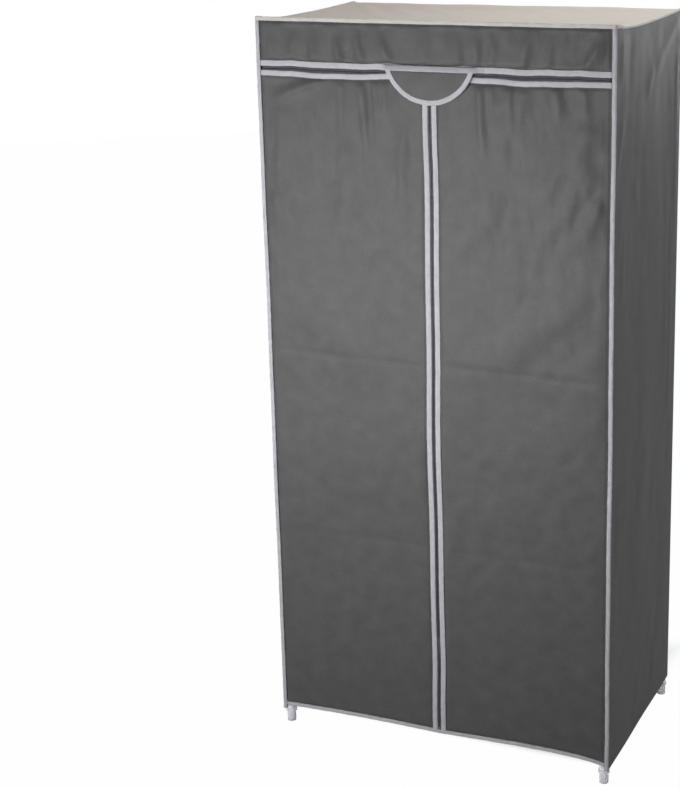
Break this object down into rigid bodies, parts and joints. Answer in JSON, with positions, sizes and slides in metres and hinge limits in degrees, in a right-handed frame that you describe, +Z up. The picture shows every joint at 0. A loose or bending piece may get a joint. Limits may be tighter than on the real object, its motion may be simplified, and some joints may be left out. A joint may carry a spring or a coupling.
{
  "type": "portable fabric wardrobe",
  "caption": "Free-standing tube-frame wardrobe under a grey zipped cloth cover, with a cloth shelf and a hanging rail; the upper door corners fold open.",
  "frame": {"origin": "on the floor, under the middle of the cover", "axes": "+Z up, the doors face -Y, +X to the right seen from the front"},
  "size_m": [0.7668, 0.4631, 1.566],
  "materials": {
    "white_plastic": "moulded, satin",
    "dark_tube": "powder coated, satin",
    "pale_tube": "pale grey coat, satin",
    "shelf_cloth": "matt non-woven",
    "cover_cloth": "matt non-woven",
    "roof_cloth": "matt non-woven",
    "binding_tape": "matt tape",
    "zip_metal": "die cast, satin"
  },
  "bodies": {
    "root": {"bottom_connector_front_left": "white_plastic", "bottom_connector_front_right": "white_plastic", "bottom_connector_back_left": "white_plastic", "bottom_connector_back_right": "white_plastic", "shelf_connector_front_left": "white_plastic", "shelf_connector_front_right": "white_plastic", "shelf_connector_back_left": "white_plastic", "shelf_connector_back_right": "white_plastic", "top_connector_front_left": "white_plastic", "top_connector_front_right": "white_plastic", "top_connector_back_left": "white_plastic", "top_connector_back_right": "white_plastic", "rail_hanger_left": "white_plastic", "rail_hanger_right": "white_plastic", "post_lower_front_left": "dark_tube", "post_lower_front_right": "dark_tube", "post_lower_back_left": "dark_tube", "post_lower_back_right": "dark_tube", "post_middle_front_left": "dark_tube", "post_middle_front_right": "dark_tube", "post_middle_back_left": "dark_tube", "post_middle_back_right": "dark_tube", "post_upper_front_left": "dark_tube", "post_upper_front_right": "dark_tube", "post_upper_back_left": "dark_tube", "post_upper_back_right": "dark_tube", "bottom_rail_front": "dark_tube", "bottom_rail_back": "dark_tube", "bottom_rail_left": "dark_tube", "bottom_rail_right": "dark_tube", "shelf_rail_front": "pale_tube", "shelf_rail_back": "pale_tube", "shelf_rail_left": "dark_tube", "shelf_rail_right": "dark_tube", "top_rail_front": "dark_tube", "top_rail_back": "dark_tube", "top_rail_left": "dark_tube", "top_rail_right": "dark_tube", "hanging_rail": "pale_tube", "shelf": "shelf_cloth", "cover_side_left": "cover_cloth", "cover_side_right": "cover_cloth", "cover_back": "cover_cloth", "cover_roof": "roof_cloth", "cover_header": "cover_cloth", "cover_front_hem": "binding_tape", "door_left_panel": "cover_cloth", "door_right_panel": "cover_cloth"},
    "left_flap": {"door_left_flap": "cover_cloth"},
    "right_flap": {"door_right_flap": "cover_cloth"},
    "zip_tab": {"zip_cover_tab": "cover_cloth"},
    "upright_slider": {"zip_slider_upright": "zip_metal"},
    "left_slider": {"zip_slider_left": "zip_metal"},
    "right_slider": {"zip_slider_right": "zip_metal"},
    "upright_pull": {"zip_pull_upright": "zip_metal"},
    "left_pull": {"zip_pull_left": "zip_metal"},
    "right_pull": {"zip_pull_right": "zip_metal"}
  },
  "joints": [
    {"name": "left_door_fold", "type": "hinge", "parent": "root", "child": "left_flap", "pos_m": [-0.3, -0.2262, 1.459], "axis": [0.4349, 0, -0.9005], "range_deg": [0, 155], "deforming": ["zip_cover_tab"]},
    {"name": "right_door_fold", "type": "hinge", "parent": "root", "child": "right_flap", "pos_m": [0.3, -0.2262, 1.459], "axis": [0.4349, 0, 0.9005], "range_deg": [0, 155], "deforming": ["zip_cover_tab"]},
    {"name": "zip_tab_lift", "type": "hinge", "parent": "root", "child": "zip_tab", "pos_m": [0, -0.228, 1.477], "axis": [-1, 0, 0], "range_deg": [0, 150]},
    {"name": "upright_zip_slide", "type": "slide", "parent": "root", "child": "upright_slider", "axis": [0, 0, -1], "range_m": [0, 1.37]},
    {"name": "left_zip_slide", "type": "slide", "parent": "root", "child": "left_slider", "axis": [-1, 0, 0], "range_m": [0, 0.324]},
    {"name": "right_zip_slide", "type": "slide", "parent": "root", "child": "right_slider", "axis": [1, 0, 0], "range_m": [0, 0.324]},
    {"name": "upright_pull_swing", "type": "hinge", "parent": "upright_slider", "child": "upright_pull", "pos_m": [0, -0.2295, 1.4355], "axis": [-1, 0, 0], "range_deg": [0, 170]},
    {"name": "left_pull_swing", "type": "hinge", "parent": "left_slider", "child": "left_pull", "pos_m": [-0.0295, -0.2295, 1.462], "axis": [0, 0, -1], "range_deg": [0, 170]},
    {"name": "right_pull_swing", "type": "hinge", "parent": "right_slider", "child": "right_pull", "pos_m": [0.0295, -0.2295, 1.462], "axis": [0, 0, 1], "range_deg": [0, 170]}
  ]
}
